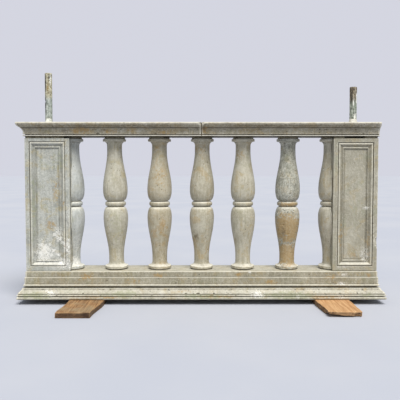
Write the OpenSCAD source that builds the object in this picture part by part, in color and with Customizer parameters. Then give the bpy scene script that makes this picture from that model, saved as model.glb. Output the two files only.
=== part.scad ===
// Stone balustrade bay: two panelled piers, five double-bellied balusters and a half
// baluster against each pier, on a two-course moulded base and under a two-stone coping.
// Origin: floor level, middle of the bay. X runs along the bay, the front faces -Y, Z is up.

/* [Bay] */
// Clear distance between the two piers
clear_span = 1365; // [1120:1:1700]
// Width of each pier along the bay
pier_w = 230; // [190:1:300]
// Depth of each pier from front to back
pier_d = 175; // [144:1:230]
// Height of each pier stone
pier_h = 687; // [560:1:850]

/* [Base] */
// Height of the lower, spreading plinth course
plinth_h = 57; // [48:1:75]
// How far the foot of the plinth course stands out from the pier faces
plinth_out = 42; // [36:1:60]
// Height of the upper base course
base_h = 79; // [66:1:100]
// How far the upper fascia of the base course stands out from the pier faces
fascia_out = 4; // [2:1:8]
// How far the fillet under the base course stands out from the pier faces
base_fillet_out = 14; // [11:1:17]

/* [Balusters] */
// Largest radius of each belly
belly_r = 65; // [54:0.5:80]
// Radius of the neck
neck_r = 39.5; // [33:0.5:44]
// Radius of the cap and foot discs
disc_r = 61; // [52:0.5:72]
// Thickness of the cap and foot discs
disc_t = 12; // [9:0.5:16]
// Radius of the ring round the middle
ring_r = 55; // [50:0.5:64]
// Radius at the bottom of the quirks on both sides of the ring
quirk_r = 44.5; // [40:0.5:48]
// How far the axis of a half baluster lies inside the face of its pier
half_inset = 6; // [0:0.5:20]

/* [Coping] */
// Height of the coping stones
coping_h = 72; // [60:1:92]
// How far the nosing stands out from the pier faces
nose_out = 37; // [28:1:45]
// Radius of the rounded nosing
nose_r = 13; // [11:0.5:16]
// How far the plain cut right end passes the outer face of its pier
cut_end_out = 4; // [0:1:12]
// Place of the butt joint between the two stones, from the middle of the bay
joint_x = -1.5; // [-20:0.5:20]

/* [Panels] */
// Width of the plain margin round each sunk panel
panel_margin = 22; // [16:1:30]
// Width of the moulding between the margin and the field
panel_moulding = 31; // [24:1:38]
// Depth of the field below the face of the pier
panel_depth = 13; // [9:0.5:18]

/* [Mortar] */
// Thickness of the bed under the piers and the balusters
foot_bed_t = 3; // [2:0.5:6]
// Thickness of the bed on top of the piers
pier_bed_t = 10; // [5:0.5:13]
// Thickness of the bed on top of the balusters
cap_bed_t = 8; // [3:0.5:11]
// Thickness of the bed between the two base courses
course_bed_t = 6; // [4:0.5:10]
// Width of the butt joint in the coping
butt_joint_w = 3; // [2:0.5:6]
// How far the beds stay back from the edges of the stones
bed_back = 3; // [1:0.5:6]
// Length of the stretch that has fallen out of the right pier's top bed
lost_bed_l = 106; // [60:1:150]

/* [Iron bars] */
// Radius of the iron bars
bar_r = 19; // [15:0.5:24]
// Radius of the thinner tail of each bar, which is set in the stone
bar_tail_r = 18; // [14:0.5:20]
// Height of the left bar above the coping
left_bar_h = 263; // [150:1:350]
// Height of the right bar above the coping
right_bar_h = 192; // [120:1:300]
// Depth that the bars go into the piers
bar_set = 120; // [80:1:200]
// Gap round the bars in their holes
bar_gap = 2; // [1:0.5:5]
// Width of the mortar round the foot of the left bar
left_mortar_w = 12; // [6:1:20]
// Height of the mortar round the foot of the left bar
left_mortar_h = 10; // [4:1:30]
// Width of the mortar round the foot of the right bar
right_mortar_w = 9; // [6:1:20]
// Height of the mortar round the foot of the right bar
right_mortar_h = 24; // [4:1:30]

/* [Bearer boards] */
// Width of each board
board_w = 180; // [150:1:220]
// Thickness of each board
board_t = 27; // [20:1:40]
// Length of the left board
left_board_l = 740; // [600:1:900]
// Length of the right board
right_board_l = 716; // [600:1:900]

/* [Hidden] */

round_steps = 48;            // $fn of every turned shape
curve_steps = 8;             // straight steps in one moulded curve
over = 1;                    // how far a cutting shape passes the face that it cuts
mortar_gap = 0.3;            // clearance between a bar and the mortar round it
bar_shoulder = 1;            // height of a bar's shoulder over its mortar

// Heights above the floor
plinth_z = board_t;
base_z = plinth_z + plinth_h + course_bed_t;
base_top = base_z + base_h;
pier_z = base_top + foot_bed_t;
pier_top = pier_z + pier_h;
coping_z = pier_top + pier_bed_t;
coping_top = coping_z + coping_h;
baluster_h = coping_z - cap_bed_t - pier_z;

// Places along the bay
pier_in = clear_span / 2;
pier_out = pier_in + pier_w;
pier_mid = pier_in + pier_w / 2;
half_axis = pier_in + half_inset;
baluster_count = 5;
spacing = 2 * half_axis / (baluster_count + 1);
set_off = [1, 6, 2, -9, -1]; // how far each baluster was set off its even place
left_bar_off = 10;           // how far outside the middle of its pier each bar stands
right_bar_off = 5;
left_bar_x = -pier_mid - left_bar_off;
right_bar_x = pier_mid + right_bar_off;
right_board_out = 79;        // how far the right board reaches under its pier
left_board_x = -pier_in + board_w / 2;
right_board_x = pier_in + right_board_out - board_w / 2;
lost_bed_in = 54;            // from the pier's inner face to the lost stretch of the bed
lost_bed_d = 45;             // how deep the lost stretch goes in from the front

function mix(a, b, t) = a + (b - a) * t;
function ease(t) = (1 - cos(180 * t)) / 2;

// Outlines of the courses: [distance out from the pier face, height above the stone's bed]
arris = 2;                   // the small bevels and steps of every moulding
plinth_foot_h = 11;
plinth_tread = 24;           // height at which the spreading curve starts
plinth_top_out = 19;
plinth_profile = concat(
    [[plinth_out, 0], [plinth_out, plinth_foot_h]],
    [[plinth_out - 1.5 * arris, plinth_foot_h + arris]],
    [[plinth_out - arris / 2, plinth_foot_h + 2 * arris]],
    [[plinth_out - arris / 2, plinth_tread - arris], [plinth_out - 2 * arris, plinth_tread]],
    [for (i = [1:curve_steps]) let (t = i / curve_steps)
        [mix(plinth_out - 2 * arris, plinth_top_out, ease(t)),
         mix(plinth_tread, plinth_h - 1.5 * arris, t)]],
    [[plinth_top_out - arris, plinth_h]]
);

lower_fascia_out = fascia_out + 2 * arris;
lower_fascia_top = 48;
base_fillet_h = 5;
base_slope_h = 5;            // from the fillet up to the lower fascia
base_profile = [
    [base_fillet_out - arris, 0], [base_fillet_out, arris / 2],
    [base_fillet_out, base_fillet_h], [lower_fascia_out, base_fillet_h + base_slope_h],
    [lower_fascia_out, lower_fascia_top], [fascia_out, lower_fascia_top + arris],
    [fascia_out, base_h - arris], [fascia_out - arris, base_h]
];

bead_out = 7.5;
bead_h = 6.5;
cove_z = bead_h + 4;
cove_out = 12;
cove_hollow = 2;
nose_fillet_out = 13;
nose_fillet_h = 7;
cove_top = coping_h - 2 * nose_r - nose_fillet_h;
coping_profile = concat(
    [[arris, 0], [bead_out, arris], [bead_out, bead_h], [0, bead_h], [0, cove_z]],
    [for (i = [0:curve_steps]) let (t = i / curve_steps)
        [mix(bead_out - arris / 2, cove_out, t) - cove_hollow * sin(180 * t), mix(cove_z, cove_top, t)]],
    [[nose_fillet_out, cove_top], [nose_fillet_out, cove_top + nose_fillet_h]],
    [for (i = [0:curve_steps]) let (a = -90 + 180 * i / curve_steps)
        [nose_out - nose_r + nose_r * cos(a), coping_h - nose_r + nose_r * sin(a)]]
);

plain_end = [[0, 0], [0, coping_h]];

// The sunk panel: [distance in from the edge of the pier, depth below its face]
panel_in = panel_margin + panel_moulding;
panel_rim_w = 4;
panel_rim_d = 2.5;
panel_bead_w = 10;           // the flat bead between the curve and the field
panel_bead_h = 4;
panel_profile = concat(
    [[panel_margin, -over], [panel_margin, panel_rim_d]],
    [[panel_margin + panel_rim_w, panel_rim_d]],
    [for (i = [1:curve_steps]) let (t = i / curve_steps)
        [mix(panel_margin + panel_rim_w, panel_in - panel_bead_w, t),
         mix(panel_rim_d, panel_depth - panel_bead_h, ease(t))]],
    [[panel_in - arris, panel_depth - panel_bead_h], [panel_in, panel_depth - arris]],
    [[panel_in, panel_depth]]
);

// Upper half of a baluster, from its middle up: [radius, height]
half_h = baluster_h / 2;
rebate = 2.5;                // height of the small step between a disc and its bed
rebate_r = disc_r - 5;
ring_half = 12.5;
ring_edge = 1;               // how far the ring's edge stands out over the quirk
quirk_h = 2;
belly_rise = 56.5;           // from the quirk up to the widest place of the belly
flare_h = 24;
flare_edge = 3;              // how far the disc stands out over the flare
neck_l = 25;
quirk_z = ring_half + 1 + quirk_h;
belly_z = quirk_z + belly_rise;
disc_z = half_h - rebate - disc_t;
neck_z = disc_z - flare_h - neck_l;
ring_root = quirk_r + ring_edge;
bulb_profile = concat(
    [for (i = [0:curve_steps]) let (a = 90 * i / curve_steps)
        [mix(ring_root, ring_r, cos(a)), ring_half * sin(a)]],
    [[quirk_r, quirk_z - quirk_h], [quirk_r, quirk_z]],
    [for (i = [1:curve_steps]) let (a = 90 * i / curve_steps)
        [mix(quirk_r, belly_r, sin(a)), mix(quirk_z, belly_z, 1 - cos(a))]],
    [for (i = [1:2 * curve_steps]) let (t = i / (2 * curve_steps))
        [mix(belly_r, neck_r, ease(t)), mix(belly_z, neck_z, t)]],
    [for (i = [0:curve_steps]) let (a = 90 * i / curve_steps)
        [mix(neck_r, disc_r - flare_edge, 1 - cos(a)), mix(neck_z + neck_l, disc_z, sin(a))]],
    [[disc_r, disc_z], [disc_r, disc_z + disc_t], [rebate_r, disc_z + disc_t]],
    [[rebate_r, half_h]]
);

function reversed(list) = [for (i = [len(list) - 1:-1:0]) list[i]];
function baluster_x(n) = (n - (baluster_count + 1) / 2) * spacing + set_off[n - 1];

// Outline of a stone seen along it: one profile on each side
module outline(low, high, low_profile, high_profile) {
    polygon(concat(
        [for (p = high_profile) [high + p[0], p[1]]],
        reversed([for (p = low_profile) [low - p[0], p[1]]])
    ));
}

// A course of stone with its moulding on the front and the back, and on each end its own
module course(x_low, x_high, z, profile, low_end, high_end) {
    reach = 2 * pier_d;
    translate([0, 0, z])
        intersection() {
            translate([x_low - reach, 0, 0])
                rotate([90, 0, 90])
                    linear_extrude(x_high - x_low + 2 * reach)
                        outline(-pier_d / 2, pier_d / 2, profile, profile);
            translate([0, reach, 0])
                rotate([90, 0, 0])
                    linear_extrude(2 * reach)
                        outline(x_low, x_high, low_end, high_end);
        }
}

// The hollow of one sunk panel, open to the front, for a pier that starts at x = 0
module panel_sinking() {
    translate([pier_w / 2, -pier_d / 2, 0])
        intersection() {
            linear_extrude(pier_h)
                sinking_outline(pier_w / 2);
            translate([-pier_w, 0, pier_h / 2])
                rotate([90, 0, 90])
                    linear_extrude(2 * pier_w)
                        mirror([1, -1])
                            sinking_outline(pier_h / 2);
        }
}

module sinking_outline(half_size) {
    polygon(concat(
        [for (p = panel_profile) [half_size - p[0], p[1]]],
        reversed([for (p = panel_profile) [p[0] - half_size, p[1]]])
    ));
}

// A pier with a panel on its front and its back, and the hole for its iron bar
module pier(x_low, bar_x) {
    translate([x_low, 0, pier_z])
        difference() {
            translate([0, -pier_d / 2, 0])
                cube([pier_w, pier_d, pier_h]);
            panel_sinking();
            mirror([0, 1, 0])
                panel_sinking();
            translate([bar_x - x_low, 0, pier_h - bar_set])
                cylinder(r = bar_r + bar_gap, h = bar_set + over, $fn = round_steps);
        }
}

module turned_baluster(x) {
    points = concat(
        [[0, half_h]], reversed(bulb_profile),
        [for (p = bulb_profile) if (p[1] > 0) [p[0], -p[1]]], [[0, -half_h]]
    );
    translate([x, 0, pier_z + half_h])
        rotate_extrude($fn = round_steps)
            polygon(points);
}

// What lies on the open side of a pier's inner face
module open_side(side) {
    reach = 2 * belly_r;
    translate([side > 0 ? pier_in - reach : -pier_in, -reach, 0])
        cube([reach, 2 * reach, coping_top]);
}

module half_baluster(side) {
    intersection() {
        turned_baluster(side * half_axis);
        open_side(side);
    }
}

// Round beds under or on the balusters, cut to a half against each pier
module baluster_beds(z, thickness) {
    bed_r = rebate_r - bed_back / 2;
    for (n = [1:baluster_count])
        translate([baluster_x(n), 0, z])
            cylinder(r = bed_r, h = thickness, $fn = round_steps);
    for (side = [-1, 1])
        intersection() {
            translate([side * half_axis, 0, z])
                cylinder(r = bed_r, h = thickness, $fn = round_steps);
            open_side(side);
        }
}

module pier_bed(x_low, z, thickness) {
    translate([x_low + bed_back, bed_back - pier_d / 2, z])
        cube([pier_w - 2 * bed_back, pier_d - 2 * bed_back, thickness]);
}

// The hole for an iron bar, from z up through a height h
module bar_hole(x, z, h) {
    translate([x, 0, z - over])
        cylinder(r = bar_r + bar_gap, h = h + 2 * over, $fn = round_steps);
}

// A bar that stands a height h out of the coping; its tail starts inside the mortar
module iron_bar(x, h, mortar_h) {
    shoulder_z = coping_top + mortar_h + bar_shoulder;
    tail_z = pier_top - bar_set;
    translate([x, 0, tail_z])
        cylinder(r = bar_tail_r, h = shoulder_z - tail_z, $fn = round_steps);
    translate([x, 0, shoulder_z])
        cylinder(r = bar_r, h = coping_top + h - shoulder_z, $fn = round_steps);
}

// Mortar run round the foot of a bar, on the coping
module bar_mortar(x, width, rise) {
    inner = bar_tail_r + mortar_gap;
    shoulder = inner + width / 3;
    translate([x, 0, coping_top])
        rotate_extrude($fn = round_steps)
            polygon([[inner, 0], [inner + width, 0], [shoulder, rise / 2], [inner, rise]]);
}

module board(x, length) {
    translate([x - board_w / 2, -length / 2, 0])
        cube([board_w, length, board_t]);
}

module left_board() {
    color("peru") board(left_board_x, left_board_l);
}

module right_board() {
    color("burlywood") board(right_board_x, right_board_l);
}

module plinth_course() {
    color("lightgray")
        course(-pier_out, pier_out, plinth_z, plinth_profile, plinth_profile, plinth_profile);
}

module course_bed() {
    color("dimgray")
        translate([-pier_out, -pier_d / 2, plinth_z + plinth_h])
            cube([2 * pier_out, pier_d, course_bed_t]);
}

module base_course() {
    color("darkkhaki")
        course(-pier_out, pier_out, base_z, base_profile, base_profile, base_profile);
}

module left_foot_bed() {
    color("gray") pier_bed(-pier_out, base_top, foot_bed_t);
}

module right_foot_bed() {
    color("gray") pier_bed(pier_in, base_top, foot_bed_t);
}

module left_pier() {
    color("silver") pier(-pier_out, left_bar_x);
}

module right_pier() {
    color("silver") pier(pier_in, right_bar_x);
}

module left_pier_bed() {
    color("gainsboro")
        difference() {
            pier_bed(-pier_out, pier_top, pier_bed_t);
            bar_hole(left_bar_x, pier_top, pier_bed_t);
        }
}

module right_pier_bed() {
    color("gainsboro")
        difference() {
            pier_bed(pier_in, pier_top, pier_bed_t);
            bar_hole(right_bar_x, pier_top, pier_bed_t);
            translate([pier_in + lost_bed_in, -pier_d / 2, pier_top - over])
                cube([lost_bed_l, lost_bed_d, pier_bed_t + 2 * over]);
        }
}

module baluster_1() {
    color("wheat") turned_baluster(baluster_x(1));
}

module baluster_2() {
    color("tan") turned_baluster(baluster_x(2));
}

module baluster_3() {
    color("wheat") turned_baluster(baluster_x(3));
}

module baluster_4() {
    color("wheat") turned_baluster(baluster_x(4));
}

module baluster_5() {
    color("tan") turned_baluster(baluster_x(5));
}

module left_half_baluster() {
    color("silver") half_baluster(-1);
}

module right_half_baluster() {
    color("silver") half_baluster(1);
}

module baluster_foot_beds() {
    color("whitesmoke") baluster_beds(base_top, foot_bed_t);
}

module baluster_cap_beds() {
    color("whitesmoke") baluster_beds(coping_z - cap_bed_t, cap_bed_t);
}

module left_coping() {
    color("gray")
        difference() {
            course(-pier_out, joint_x - butt_joint_w / 2, coping_z,
                   coping_profile, coping_profile, plain_end);
            bar_hole(left_bar_x, coping_z, coping_h);
        }
}

module right_coping() {
    color("gray")
        difference() {
            course(joint_x + butt_joint_w / 2, pier_out + cut_end_out, coping_z,
                   coping_profile, plain_end, plain_end);
            bar_hole(right_bar_x, coping_z, coping_h);
        }
}

module coping_joint() {
    color("whitesmoke")
        translate([joint_x - butt_joint_w / 2, bed_back - pier_d / 2, coping_z])
            cube([butt_joint_w, pier_d - 2 * bed_back, coping_h - bed_back]);
}

module left_bar() {
    color("rosybrown") iron_bar(left_bar_x, left_bar_h, left_mortar_h);
}

module right_bar() {
    color("slategray") iron_bar(right_bar_x, right_bar_h, right_mortar_h);
}

module left_bar_mortar() {
    color("whitesmoke") bar_mortar(left_bar_x, left_mortar_w, left_mortar_h);
}

module right_bar_mortar() {
    color("whitesmoke") bar_mortar(right_bar_x, right_mortar_w, right_mortar_h);
}

left_board();
right_board();
plinth_course();
course_bed();
base_course();
left_foot_bed();
right_foot_bed();
left_pier();
right_pier();
left_pier_bed();
right_pier_bed();
baluster_1();
baluster_2();
baluster_3();
baluster_4();
baluster_5();
left_half_baluster();
right_half_baluster();
baluster_foot_beds();
baluster_cap_beds();
left_coping();
right_coping();
coping_joint();
left_bar();
right_bar();
left_bar_mortar();
right_bar_mortar();
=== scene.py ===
"""Looks of the stone balustrade bay: worn stones, mortar, iron bars and bearer boards.

Every stone is a fine mesh with its mouldings, worn arrises, chips and pits in the shape.
Lengths in the tables of mouldings are millimetres; everything else is in metres.
"""
import math

import bpy
import numpy as np
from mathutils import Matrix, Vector


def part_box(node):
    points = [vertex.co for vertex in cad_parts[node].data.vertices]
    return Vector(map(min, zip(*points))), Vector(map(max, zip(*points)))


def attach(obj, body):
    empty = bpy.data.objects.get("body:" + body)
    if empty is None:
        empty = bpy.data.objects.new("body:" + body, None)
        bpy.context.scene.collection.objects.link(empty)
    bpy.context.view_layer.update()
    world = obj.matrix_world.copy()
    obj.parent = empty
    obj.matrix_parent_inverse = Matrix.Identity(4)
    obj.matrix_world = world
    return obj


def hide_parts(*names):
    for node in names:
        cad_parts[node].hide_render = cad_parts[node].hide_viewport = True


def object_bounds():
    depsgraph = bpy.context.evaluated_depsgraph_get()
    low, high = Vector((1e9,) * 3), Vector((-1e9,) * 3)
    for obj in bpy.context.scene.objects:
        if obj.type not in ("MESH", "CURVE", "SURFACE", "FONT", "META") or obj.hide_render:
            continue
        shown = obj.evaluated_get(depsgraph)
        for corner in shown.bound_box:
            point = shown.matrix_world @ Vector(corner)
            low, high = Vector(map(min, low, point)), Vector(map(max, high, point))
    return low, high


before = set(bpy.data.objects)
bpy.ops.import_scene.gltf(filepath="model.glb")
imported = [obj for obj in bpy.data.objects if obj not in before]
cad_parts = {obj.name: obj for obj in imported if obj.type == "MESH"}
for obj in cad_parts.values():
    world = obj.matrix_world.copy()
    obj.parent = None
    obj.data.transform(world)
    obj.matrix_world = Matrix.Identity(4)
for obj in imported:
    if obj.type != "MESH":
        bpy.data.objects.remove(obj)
cad_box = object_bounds()

MM = 0.001
SHARP_ARRIS = math.radians(38)
GROOVE_DEPTH = 0.0006
STAINS = ("lime", "ochre", "green", "soot_and_shade")
SKY_LIGHT = (0.86, 0.92, 1.0, 1.0)
SEEN_WORLD = (0.66, 0.67, 0.75, 1.0)

# ------ noise and mesh helpers


def lattice(x, y, z, seed):
    """A fixed number from 0 to 1 for each whole-number place."""
    h = (x * 374761393 + y * 668265263 + z * 1440662683 + seed * 974634777) & 0xFFFFFFFF
    h = ((h ^ (h >> 13)) * 1274126177) & 0xFFFFFFFF
    h = ((h ^ (h >> 15)) * 2246822519) & 0xFFFFFFFF
    return ((h ^ (h >> 16)) & 0xFFFFFF) / 0xFFFFFF


def noise(points, size, seed=0):
    """Smooth noise from -1 to 1 at each point, with lumps of the given size."""
    p = points / size + 1000.0
    cell = np.floor(p).astype(np.int64)
    f = p - cell
    f = f * f * (3 - 2 * f)
    total = np.zeros(len(points))
    for corner in range(8):
        bits = [(corner >> k) & 1 for k in range(3)]
        weight = np.ones(len(points))
        for k in range(3):
            weight *= f[:, k] if bits[k] else 1 - f[:, k]
        total += weight * lattice(*(cell[:, k] + bits[k] for k in range(3)), seed)
    return 2 * total - 1


def rough(points, size, seed=0, octaves=3):
    """Noise in several sizes, each half as large and half as strong as the last."""
    return sum(noise(points, size / 2**k, seed + k) / 2**k for k in range(octaves))


def step_between(value, low, high):
    """0 below low, 1 above high, and smooth between them."""
    t = np.clip((value - low) / (high - low), 0, 1)
    return t * t * (3 - 2 * t)


class Solid:
    """Points and faces of one closed piece, before it becomes a Blender mesh."""

    def __init__(self, points, quads, plain_faces):
        self.points = np.asarray(points, float)
        self.quads = np.asarray(quads, int)
        self.plain_faces = [list(map(int, face)) for face in plain_faces]
        pairs = np.concatenate([self.quads[:, [k, (k + 1) % 4]] for k in range(4)])
        self.edges = np.concatenate([pairs, pairs[:, ::-1]])
        self.degree = np.maximum(self.sum_at(self.edges[:, 0], np.ones(len(self.edges))), 1)

    def sum_at(self, index, values):
        return np.bincount(index, values, len(self.points))

    def normals(self):
        corners = self.points[self.quads]
        face = np.cross(corners[:, 2] - corners[:, 0], corners[:, 3] - corners[:, 1])
        total = np.column_stack([
            sum(self.sum_at(self.quads[:, k], face[:, axis]) for k in range(4))
            for axis in range(3)
        ])
        length = np.linalg.norm(total, axis=1)
        return total / np.maximum(length, 1e-12)[:, None]

    def spread(self, values):
        """The mean of each point's neighbours."""
        return self.sum_at(self.edges[:, 0], values[self.edges[:, 1]]) / self.degree

    def pull(self):
        """From each point towards the mean of its neighbours."""
        mean = np.column_stack([self.spread(self.points[:, k]) for k in range(3)])
        return mean - self.points

    def bend(self):
        """Above 0 on outer arrises, below 0 in hollows, in metres."""
        return -np.sum(self.pull() * self.normals(), axis=1)

    def diffused(self, values, times):
        for _ in range(times):
            values = 0.5 * values + 0.5 * self.spread(values)
        return values


def closed_sleeve(levels, wide=0, deep=0, first="plain", last="plain"):
    """A solid from rings of points, one ring a level. An end is one plain face, or a fine grid
    when the rings are rectangles with `wide` and `deep` steps along their sides."""
    levels = np.asarray(levels, float)
    count, around, _ = levels.shape
    points = [levels.reshape(-1, 3)]
    index = np.arange(count * around).reshape(count, around)
    ahead = np.roll(index, -1, axis=1)
    quads = [
        np.stack([index[:-1], ahead[:-1], ahead[1:], index[1:]], axis=2).reshape(-1, 4)
    ]
    plain = []
    used = count * around
    for style, ring, outward in ((first, index[0], False), (last, index[-1], True)):
        if style == "plain":
            plain.append(ring if outward else ring[::-1])
            continue
        grid = grid_over_ring(ring, wide, deep, used)
        inner = grid_points(points[0], grid, wide, deep)
        points.append(inner)
        used += len(inner)
        cells = np.stack([grid[:-1, :-1], grid[:-1, 1:], grid[1:, 1:], grid[1:, :-1]], axis=2)
        cells = cells.reshape(-1, 4)
        quads.append(cells if outward else cells[:, ::-1])
    return Solid(np.concatenate(points), np.concatenate(quads), plain)


def grid_over_ring(ring, wide, deep, first_new):
    """Numbers of the points of a grid whose border is the ring."""
    grid = np.zeros((deep + 1, wide + 1), int)
    grid[0, :wide] = ring[:wide]
    grid[:deep, wide] = ring[wide : wide + deep]
    grid[deep, wide:0:-1] = ring[wide + deep : 2 * wide + deep]
    grid[deep:0:-1, 0] = ring[2 * wide + deep :]
    inside = (deep - 1) * (wide - 1)
    grid[1:deep, 1:wide] = first_new + np.arange(inside).reshape(deep - 1, wide - 1)
    return grid


def grid_points(border_points, grid, wide, deep):
    """Places of a grid's inner points, spread evenly between its front and back rows."""
    front = border_points[grid[0]]
    back = border_points[grid[deep]]
    side = border_points[grid[:, 0]]
    share = np.linalg.norm(side - side[0], axis=1) / np.linalg.norm(side[deep] - side[0])
    rows = [front * (1 - share[j]) + back * share[j] for j in range(1, deep)]
    return np.concatenate([row[1:wide] for row in rows])


def rectangle_ring(x_low, x_high, y_low, y_high, across, along):
    """Points round a rectangle, from its low corner along +x first. along is the number of
    even steps on a side, and so is across, or it gives the points' shares from 0 to 1."""
    if isinstance(across, int):
        across = np.linspace(0, 1, across + 1)
    xs = x_low + (x_high - x_low) * across
    ys = y_low + (y_high - y_low) * np.linspace(0, 1, along + 1)
    front = [(x, y_low) for x in xs[:-1]]
    right = [(x_high, y) for y in ys[:-1]]
    back = [(x, y_high) for x in xs[:0:-1]]
    left = [(x_low, y) for y in ys[:0:-1]]
    return np.array(front + right + back + left)


def circle(x, y, radius, angles):
    return np.column_stack([x + radius * np.cos(angles), y + radius * np.sin(angles)])


def at_height(flat, z):
    """A flat ring of points, lifted to the height z."""
    return np.column_stack([flat, np.full(len(flat), z)])


def resampled(outline, step):
    """The same outline with points no further apart than step. It keeps its corners."""
    out = [outline[0]]
    for a, b in zip(outline[:-1], outline[1:]):
        parts = max(1, math.ceil(math.dist(a, b) / step))
        out += [
            tuple(a[k] + (b[k] - a[k]) * i / parts for k in range(2))
            for i in range(1, parts + 1)
        ]
    return out


# ------ weathering


def wear_arrises(solid, seed, strength, rounds=2):
    """Rounds the outer arrises unevenly, more where the noise is high."""
    patch = step_between(rough(solid.points, 0.045, seed), -0.5, 0.7)
    for _ in range(rounds):
        sharp = step_between(solid.bend(), 0.00008, 0.0006)
        solid.points += solid.pull() * (sharp * (0.08 + strength * patch))[:, None]


def chip_at(solid, place, radius, bite, seed):
    """Breaks a piece off: what stands out past a rough plane goes back to it."""
    place = np.asarray(place, float)
    away = np.linalg.norm(solid.points - place, axis=1)
    near = away < radius * 1.3
    if not near.any():
        return
    outward = solid.normals()[near].mean(axis=0)
    outward /= np.linalg.norm(outward) + 1e-9
    height = (solid.points[near] - place) @ outward
    ragged = 0.25 * bite * rough(solid.points[near], radius * 0.5, seed, 2)
    over = np.maximum(height + bite + ragged, 0)
    fade = step_between(-away[near] / radius, -1.15, -0.75)
    solid.points[near] -= (over * fade)[:, None] * outward


def chip_arrises(solid, seed, count, largest):
    """Small chips at places picked along the outer arrises."""
    arrises = np.flatnonzero(solid.bend() > 0.0004)
    if not len(arrises):
        return
    draw = np.random.default_rng(seed)
    for place in draw.choice(arrises, size=count):
        radius = largest * draw.uniform(0.3, 1.0)
        chip_at(solid, solid.points[place].copy(), radius, radius * 0.22, seed + int(place))


def weather(solid, seed, chips, chip_size=0.008, wave=0.0006, pits=0.0008, wear=0.25):
    """The uneven face of an old cut stone. The surface is only ever taken away."""
    wear_arrises(solid, seed, wear)
    chip_arrises(solid, seed + 5, chips, chip_size)
    lumps = 0.5 - 0.5 * rough(solid.points, 0.07, seed + 11) / 1.75
    holes = step_between(rough(solid.points, 0.011, seed + 21, 2), 0.55, 1.1)
    solid.points -= solid.normals() * (wave * lumps + pits * holes)[:, None]


# ------ making the pieces


def blot(points, x, z, wide, tall, y_limit=0.0):
    """A soft spot on the front, 1 in its middle."""
    away = ((points[:, 0] - x) / wide) ** 2 + ((points[:, 2] - z) / tall) ** 2
    return np.exp(-away) * (points[:, 1] < y_limit)


def add(name, data):
    """Puts a new object in the scene."""
    thing = bpy.data.objects.new(name, data)
    bpy.context.scene.collection.objects.link(thing)
    return thing


def paint(mesh, name, values):
    layer = mesh.attributes.new(name, "FLOAT", "POINT")
    layer.data.foreach_set("value", np.clip(values, 0, 1).astype(np.float32))


def in_bands(height, bands):
    """1 inside any of the bands, given as (low, high), and 0 away from them."""
    inside = np.zeros(len(height))
    for low, high in bands:
        rise = step_between(height, low - 0.001, low)
        inside = np.maximum(inside, rise * (1 - step_between(height, high, high + 0.001)))
    return inside


def piece(name, solid, material, node, stains=None, pale=(), dark_marks_and_shade=(), y_limit=0.0):
    """Makes the Blender object, with its masks for the material, and puts it on the frame.
    pale and the dark marks list the heights, as (low, high), of lightened and of blackened bands:
    painted highlights on lit fillets and beads, and painted shade in quirks and under soffits,
    along with bleaching and dirt. The dark marks may also be one number a point."""
    np.clip(solid.points, list(cad_box[0]), list(cad_box[1]), out=solid.points)
    mesh = bpy.data.meshes.new(name)
    faces = solid.quads.tolist() + solid.plain_faces
    mesh.from_pydata(solid.points.tolist(), [], faces)
    bend = solid.diffused(solid.bend(), 1)
    # Outer arrises, lightened in the material: wear and a painted highlight.
    paint(mesh, "worn_and_highlit", step_between(bend, 0.00006, 0.00035))
    # Hollows, darkened in the material: dirt and painted shade.
    paint(mesh, "hollow", step_between(-bend, 0.00004, 0.00025))
    # Faces turned up are lightened: rain bleaching and painted light from above.
    washed_and_lit = 0.75 * step_between(solid.normals()[:, 2], 0.12, 0.75)
    height = solid.points[:, 2]
    paint(mesh, "washed_and_lit", np.maximum(washed_and_lit, in_bands(height, pale)))
    # Blackened bands and points: dirt and painted shade in quirks, under soffits and on shaded
    # sides.
    paint(mesh, "dark_marks_and_shade", dark_marks_and_shade if len(dark_marks_and_shade) == len(height) else in_bands(height, dark_marks_and_shade))
    for stain in STAINS:
        mask = np.zeros(len(solid.points))
        for spot in (stains or {}).get(stain, []):
            mask = np.maximum(mask, spot[4] * blot(solid.points, *spot[:4], y_limit))
        paint(mesh, stain, mask)
    mesh.shade_smooth()
    mesh.set_sharp_from_angle(angle=SHARP_ARRIS)
    mesh.materials.append(material)
    thing = add(name, mesh)
    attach(thing, "root")
    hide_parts(node)


# ------ materials


def tone(red, green, blue):
    """A colour as a screen shows it, 0 to 255, for a shader socket."""
    def linear(v):
        v /= 255
        return v / 12.92 if v <= 0.04045 else ((v + 0.055) / 1.055) ** 2.4
    return (linear(red), linear(green), linear(blue), 1.0)


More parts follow.
